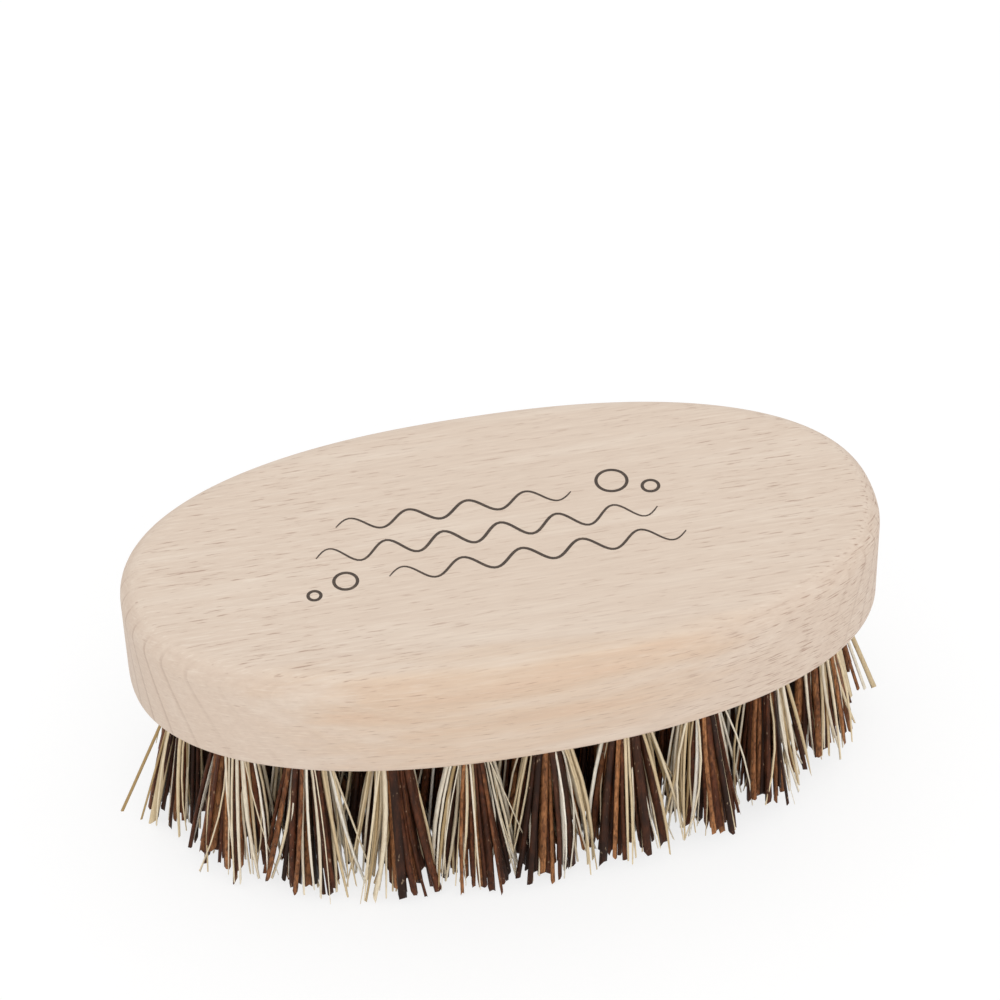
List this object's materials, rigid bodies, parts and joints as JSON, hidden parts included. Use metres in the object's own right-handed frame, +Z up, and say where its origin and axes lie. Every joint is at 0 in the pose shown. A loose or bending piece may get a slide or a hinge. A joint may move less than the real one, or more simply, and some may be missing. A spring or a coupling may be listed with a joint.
{
  "type": "mussel brush",
  "caption": "Palm-sized oval beech block with rounded edges and tufts of stiff plant fibre set in its underside, for scrubbing mussels and vegetables.",
  "frame": {"origin": "on the surface that the bristle tips stand on, under the middle of the block", "axes": "+X along the block's length, +Y across it, +Z up from the bristle tips to the top of the block"},
  "size_m": [0.115, 0.06, 0.046],
  "materials": {
    "beech": "raw, fine sanded",
    "union_fibre": "mixed brown bassine and cream tampico fibre, matte"
  },
  "bodies": {
    "root": {"wood_block": "beech", "outer_tuft_01": "union_fibre", "outer_tuft_02": "union_fibre", "outer_tuft_03": "union_fibre", "outer_tuft_04": "union_fibre", "outer_tuft_05": "union_fibre", "outer_tuft_06": "union_fibre", "outer_tuft_07": "union_fibre", "outer_tuft_08": "union_fibre", "outer_tuft_09": "union_fibre", "outer_tuft_10": "union_fibre", "outer_tuft_11": "union_fibre", "outer_tuft_12": "union_fibre", "outer_tuft_13": "union_fibre", "outer_tuft_14": "union_fibre", "outer_tuft_15": "union_fibre", "outer_tuft_16": "union_fibre", "outer_tuft_17": "union_fibre", "outer_tuft_18": "union_fibre", "outer_tuft_19": "union_fibre", "outer_tuft_20": "union_fibre", "inner_tuft_01": "union_fibre", "inner_tuft_02": "union_fibre", "inner_tuft_03": "union_fibre", "inner_tuft_04": "union_fibre", "inner_tuft_05": "union_fibre", "inner_tuft_06": "union_fibre", "inner_tuft_07": "union_fibre", "inner_tuft_08": "union_fibre", "inner_tuft_09": "union_fibre", "inner_tuft_10": "union_fibre", "inner_tuft_11": "union_fibre", "inner_tuft_12": "union_fibre", "inner_tuft_13": "union_fibre", "inner_tuft_14": "union_fibre", "inner_tuft_15": "union_fibre", "inner_tuft_16": "union_fibre", "centre_tuft_01": "union_fibre", "centre_tuft_02": "union_fibre", "centre_tuft_03": "union_fibre", "centre_tuft_04": "union_fibre", "centre_tuft_05": "union_fibre", "centre_tuft_06": "union_fibre"}
  },
  "joints": []
}
